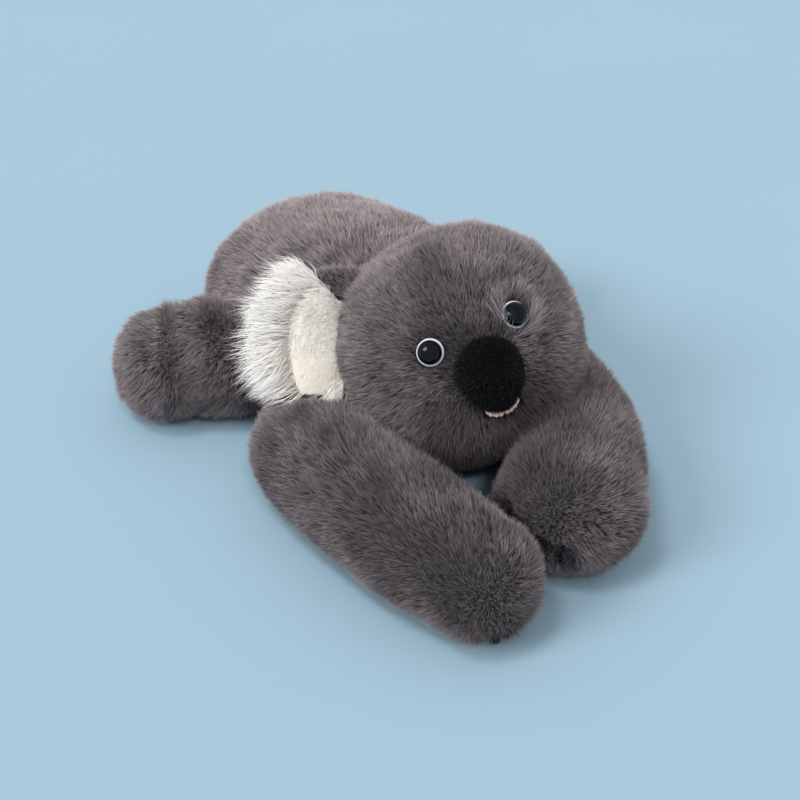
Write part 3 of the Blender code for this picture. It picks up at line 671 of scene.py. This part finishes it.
def ear_fall(side, root):
    """White hair, long on the right ear's rim. The left ear's is short, which is a guess."""
    if side == "left":
        return lambda points: np.full(len(points), 0.35)
    return lambda points: 0.16 + 1.2 * nearness(points, [root], *EAR_ROOT_TO_RIM)


def back_fall(side):
    """The pile on the grey back is shorter on the left ear, which is a guess."""
    return lambda points: np.full(len(points), 1.0 if side == "right" else 0.55)


def ear_side(side, white):
    """Keeps an ear's white front and rim, or else its grey back."""
    middle, axes = own_axes(f"{side}_ear")
    out = axes[2] * np.sign(axes[2] @ (centre_of(f"{side}_ear_lining") - middle))

    def keep(points, normals):
        front = normals @ out > -0.3
        if side == "right":
            front &= (points - CREST) @ CREST_WAY < 0
        return front == white

    return keep


def torso_flow(points):
    """Brushed backwards, a little down and out from the line of the spine."""
    spread = points[:, 0] - SPINE_X
    return np.stack([spread * 6, np.full(len(points), 1.0), np.full(len(points), -0.35)], 1)


HEAD = centre_of("head")
SPINE_X = 3 * MM
RUMP_Y = 110 * MM

# The right ear's white front ends in the photograph along a line through this point
CREST = np.array([-59, 37, 142]) * MM
CREST_WAY = np.array([0.8, 0.0, 0.6])


def upper_share(node, share):
    """Keeps the points in that share of the node's height, from its top."""
    low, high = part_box(node)
    level = high[2] - share * (high[2] - low[2])
    return lambda points, normals: points[:, 2] > level


def tuft_fall(node):
    """The nap at the top of a lining gets shorter downwards."""
    low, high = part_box(node)
    middle = (low[2] + high[2]) / 2
    half = (high[2] - low[2]) / 2
    return lambda points: 0.3 + 0.7 * np.clip((points[:, 2] - middle) / half, 0, 1)


def head_side(sign):
    return lambda points, normals: (points - HEAD) @ (NOSE - HEAD) * sign > 0


grow(
    "head_pile_front", "head", PLAIN_COAT, away_from(NOSE), 11, head_side(1), trim_face,
    painted_shade_under_chin, tilt_face,
)
grow("head_pile_back", "head", PLAIN_COAT, away_from(NOSE), 12, head_side(-1), trim_face)
grow(
    "torso_pile_chest", "torso", PLAIN_COAT, torso_flow, 13,
    lambda points, normals: points[:, 1] < RUMP_Y, painted_light_and_shade=painted_light_on_top,
)
grow(
    "torso_pile_rump", "torso", PLAIN_COAT, torso_flow, 14,
    lambda points, normals: points[:, 1] >= RUMP_Y, painted_light_and_shade=painted_light_on_top,
)
for side in SIDES:
    paw = centre_of(f"{side}_arm_claw_2")
    seed = 20 if side == "right" else 40
    grow(
        f"{side}_arm_pile", f"{side}_arm", ARM_COAT, away_from(paw), seed, None, trim_paw,
        painted_shade_and_light_on_arm,
    )
    outwards = -1 if side == "right" else 1
    brushed = along((0.85 * outwards, 0.15, -0.5))
    grow(f"{side}_leg_pile", f"{side}_leg", HIND_COAT, brushed, seed + 1, painted_light_and_shade=painted_light_on_top)
    grow(f"{side}_foot_pile", f"{side}_foot", HIND_COAT, brushed, seed + 2, painted_light_and_shade=painted_light_on_top)
    ear_root = centre_of(f"{side}_ear") * 0.45 + HEAD * 0.55 + [0, 0, 15 * MM]
    grow(
        f"{side}_ear_pile", f"{side}_ear", EAR_COAT, away_from(ear_root), seed + 3,
        ear_side(side, True), ear_fall(side, ear_root),
    )
    grow(
        f"{side}_ear_back_pile", f"{side}_ear", BACK_COAT, away_from(ear_root), seed + 6,
        ear_side(side, False), back_fall(side),
    )
    lining = f"{side}_ear_lining"
    grow(f"{side}_lining_pile", lining, LINING_COAT, away_from(ear_root), seed + 4)
    grow(
        f"{side}_ear_tuft", lining, TUFT_COAT, away_from(ear_root), seed + 5,
        upper_share(lining, 0.55), shorten=tuft_fall(lining),
    )

for node in SOFT_NODES:
    if node.endswith("ear"):
        front = ear_side(node.split("_")[0], True)
        backing(f"{node}_backing", node, 1 * MM, white_backing, grey_backing_painted_shade, front)
    else:
        backing(f"{node}_backing", node, 5 * MM, grey_backing_painted_shade)


# Lining, nose, mouth, eyes and claws

RIM_RADIUS = 9.6 * MM
RIM_THICK = 1.7 * MM
RIM_FORWARD = 0.6 * MM
RIM_STEPS = 64
CLAW_TWIST = 2.6
CLAW_THREADS = 3
THREAD_OUT = 0.55
THREAD_RADIUS = 0.58
MOUTH_THICK = 5.4 * MM
MOUTH_TUCK = 0.4 * MM
MOUTH_LENGTH_SHARE = 0.82
NOTCH_PLACE = -0.05
NOTCH_WIDTH = 0.09
THINNEST_LIP = 0.1 * MM


def rounded_copy(name, node, material, rounds=2):
    """A soft trim piece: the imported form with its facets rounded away."""
    surface = surfaces[node]
    made = mesh_object(name, surface.points, [surface.faces])
    rounding = made.modifiers.new("rounded", "SUBSURF")
    rounding.levels = rounding.render_levels = rounds
    made.data.materials.append(material)
    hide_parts(node)
    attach(made, BODY_OF[node])
    return made


def tube(path, radii, sides=10, closed=False):
    """Corners and faces of a round tube along a path, its ends closed unless it is a ring."""
    count = len(path)
    ahead = np.roll(path, -1, 0) - np.roll(path, 1, 0)
    if not closed:
        ahead[0], ahead[-1] = path[1] - path[0], path[-1] - path[-2]
    ahead = unit_rows(ahead)
    first = np.cross(ahead[0], [0.3, 0.5, 0.8])
    firsts = []
    for way in ahead:
        first = first - way * (first @ way)
        first = first / np.linalg.norm(first)
        firsts.append(first)
    firsts = np.array(firsts)
    seconds = np.cross(ahead, firsts)
    angles = np.arange(sides) * (2 * math.pi / sides)
    rings = (
        firsts[:, None] * np.cos(angles)[None, :, None]
        + seconds[:, None] * np.sin(angles)[None, :, None]
    )
    rows = (path[:, None] + rings * np.asarray(radii)[:, None, None]).reshape(-1, 3)
    last = count if closed else count - 1
    ring = np.arange(last)[:, None] * sides
    step = (np.arange(sides) + 1) % sides
    here, beyond = ring + np.arange(sides), (ring + sides) % (count * sides)
    faces = np.stack(
        [here, ring + step, beyond + step, beyond + np.arange(sides)], 2
    ).reshape(-1, 4)
    return rows, faces


def piece(name, node, tubes, material):
    """A piece made of tubes, in the place of a node."""
    rows, faces, start = [], [], 0
    for points, quads in tubes:
        rows.append(points)
        faces.append(quads + start)
        start += len(points)
    made = mesh_object(name, np.concatenate(rows), [np.concatenate(faces)])
    made.data.materials.append(material)
    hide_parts(node)
    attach(made, BODY_OF[node])
    return made


def rim_ring(side):
    """The thin white ring that a button eye sits in."""
    node = f"{side}_eye_rim"
    middle, axes = own_axes(node)
    across, up, out = axes
    out = out * np.sign(out @ (middle - HEAD))
    angles = np.linspace(0, 2 * math.pi, RIM_STEPS, endpoint=False)
    circle = np.cos(angles)[:, None] * across + np.sin(angles)[:, None] * up
    path = middle + out * RIM_FORWARD + circle * RIM_RADIUS
    ring = tube(path, np.full(RIM_STEPS, RIM_THICK / 2), 12, True)
    piece(f"{side}_eye_ring", node, [ring], rim_white)


def claw_cord(node):
    """A claw of three glossy black threads twisted round each other."""
    points = surfaces[node].points
    middle, axes = own_axes(node)
    along_claw = (points - middle) @ axes[0]
    half = np.abs(along_claw).max()
    girth = np.abs((points - middle) @ axes[1]).max()
    share = np.linspace(-1, 1, 41)
    swell = np.sqrt(np.maximum(1 - share**4, 0.02))
    threads = []
    for number in range(CLAW_THREADS):
        turn = share * CLAW_TWIST + number * 2 * math.pi / CLAW_THREADS
        circle = np.cos(turn)[:, None] * axes[1] + np.sin(turn)[:, None] * axes[2]
        out = (girth * THREAD_OUT * swell)[:, None]
        path = middle + share[:, None] * axes[0] * half + circle * out
        threads.append(tube(path, girth * THREAD_RADIUS * swell, 8))
    piece(f"{node}_thread", node, threads, claw_black)


def make_mouth():
    """Two thin pale lips of felt under the nose, with a notch between them."""
    points = surfaces["mouth"].points
    middle, axes = own_axes("mouth")
    local = (points - middle) @ axes.T
    curve = [np.polyfit(local[:, 0], local[:, index], 2) for index in (1, 2)]
    half = np.abs(local[:, 0]).max() * MOUTH_LENGTH_SHARE
    share = np.linspace(-1, 1, 61)
    places = share * half
    path = middle + places[:, None] * axes[0]
    for index, fit in enumerate(curve):
        path = path + np.polyval(fit, places)[:, None] * axes[index + 1]
    path = path + (NOSE - middle) / np.linalg.norm(NOSE - middle) * MOUTH_TUCK
    notch = np.exp(-(((share - NOTCH_PLACE) / NOTCH_WIDTH) ** 2))
    ripple = 1 + 0.12 * np.sin(share * 23) + 0.08 * np.sin(share * 41 + 1)
    radii = MOUTH_THICK / 2 * (1 - share**6) ** 0.5 * (1 - 0.6 * notch) * ripple
    lip = tube(path, np.maximum(radii, THINNEST_LIP), 12)
    lips = piece("mouth_lips", "mouth", [lip], mouth_felt)


nose_top = NOSE + [0, 0, 30 * MM]
grow("nose_pile", "nose", NOSE_COAT, away_from(nose_top, (0, 0, -0.5)), 60)
for side in SIDES:
    lining = rounded_copy(f"{side}_ear_lining_plush", f"{side}_ear_lining", cream_plush)
    for part, material in (("eye", eye_black), ("eye_washer", washer_plastic)):
        frame["nodes"][f"{side}_{part}"].data.materials.clear()
        frame["nodes"][f"{side}_{part}"].data.materials.append(material)
    rim_ring(side)
    for number in CLAWS:
        claw_cord(f"{side}_arm_claw_{number}")
rounded_copy("nose_flocked", "nose", nose_flock)
make_mouth()


# Floor, light and camera

BLUE = linear(168, 200, 220)
# The floor gets more than the plain level of light, so its colour is a share of BLUE
FLOOR_SHARES = (0.83, 0.82)
FLOOR_HALF = 20.0

# The photograph's view
CAMERA_PLACE = (-0.5360, -0.7338, 0.7448)
CAMERA_RIGHT = (0.819, -0.574, 0.0)
CAMERA_BACK = (-0.452, -0.645, 0.616)
FOCAL_PIXELS = 1375
PHOTO_PIXELS = 800
SENSOR_MM = 36.0


def make_floor():
    mesh = bpy.data.meshes.new("floor")
    shape = bmesh.new()
    bmesh.ops.create_grid(shape, x_segments=8, y_segments=8, size=FLOOR_HALF)
    shape.to_mesh(mesh)
    shape.free()
    floor = bpy.data.objects.new("floor", mesh)
    bpy.context.scene.collection.objects.link(floor)
    paper = Shader("floor_paper", Roughness=0.9)
    paper.out.inputs["Specular IOR Level"].default_value = 0.1
    grain = paper.noise(3.0, 2.0)
    light, dark = (
        tuple(share * value for value in BLUE[:3]) + (1.0,) for share in FLOOR_SHARES
    )
    paper.use("Base Color", paper.ramp(grain, (0.3, dark), (0.7, light)))
    mesh.materials.append(paper.material)


def make_world(low, high):
    """A soft sky, from low near the floor to high overhead, that the camera sees as BLUE."""
    world = bpy.data.worlds.new("studio")
    bpy.context.scene.world = world
    world.use_nodes = True
    tree = world.node_tree
    soft = tree.nodes["Background"]
    soft.inputs["Color"].default_value = (1.0, 0.985, 0.97, 1.0)
    way = tree.nodes.new("ShaderNodeTexCoord").outputs["Generated"]
    split = tree.nodes.new("ShaderNodeSeparateXYZ")
    rise = tree.nodes.new("ShaderNodeMapRange")
    rise.inputs["From Min"].default_value = 0.0
    rise.inputs["To Min"].default_value = low
    rise.inputs["To Max"].default_value = high
    tree.links.new(way, split.inputs["Vector"])
    tree.links.new(split.outputs["Z"], rise.inputs["Value"])
    tree.links.new(rise.outputs["Result"], soft.inputs["Strength"])
    seen = tree.nodes.new("ShaderNodeBackground")
    seen.inputs["Color"].default_value = BLUE
    seen.inputs["Strength"].default_value = 1.0
    rays = tree.nodes.new("ShaderNodeLightPath")
    chosen = tree.nodes.new("ShaderNodeMixShader")
    direct = rays.outputs["Is Camera Ray"]
    for other in ("Is Glossy Ray", "Is Transmission Ray"):
        larger = tree.nodes.new("ShaderNodeMath")
        larger.operation = "MAXIMUM"
        tree.links.new(direct, larger.inputs[0])
        tree.links.new(rays.outputs[other], larger.inputs[1])
        direct = larger.outputs["Value"]
    tree.links.new(direct, chosen.inputs["Fac"])
    tree.links.new(soft.outputs["Background"], chosen.inputs[1])
    tree.links.new(seen.outputs["Background"], chosen.inputs[2])
    tree.links.new(chosen.outputs["Shader"], tree.nodes["World Output"].inputs["Surface"])


def make_sun(name, towards_lamp, strength, spread, colour):
    lamp = bpy.data.lights.new(name, "SUN")
    lamp.energy = strength
    lamp.angle = math.radians(spread)
    lamp.color = colour
    made = bpy.data.objects.new(name, lamp)
    made.rotation_mode = "QUATERNION"
    made.rotation_quaternion = Vector(towards_lamp).to_track_quat("Z", "Y")
    bpy.context.scene.collection.objects.link(made)


def make_camera():
    right = Vector(CAMERA_RIGHT).normalized()
    back = Vector(CAMERA_BACK).normalized()
    up = back.cross(right)
    lens = bpy.data.cameras.new("camera")
    lens.sensor_width = SENSOR_MM
    lens.lens = SENSOR_MM * FOCAL_PIXELS / PHOTO_PIXELS
    lens.clip_start, lens.clip_end = 0.01, 20.0
    camera = bpy.data.objects.new("camera", lens)
    turn = Matrix((right, up, back)).transposed()
    camera.matrix_world = Matrix.Translation(CAMERA_PLACE) @ turn.to_4x4()
    bpy.context.scene.collection.objects.link(camera)
    bpy.context.scene.camera = camera


make_floor()
make_world(0.14, 0.83)
make_sun("key", (-0.36, 0.02, 0.93), 0.8, 14, (1.0, 0.99, 0.97))
make_sun("side", (-0.78, 0.06, 0.61), 1.4, 26, (1.0, 0.985, 0.96))
make_sun("front", (-0.206, -0.574, 0.79), 0.6, 8, (1.0, 0.99, 0.97))
make_camera()
bpy.context.scene.view_settings.view_transform = "Standard"
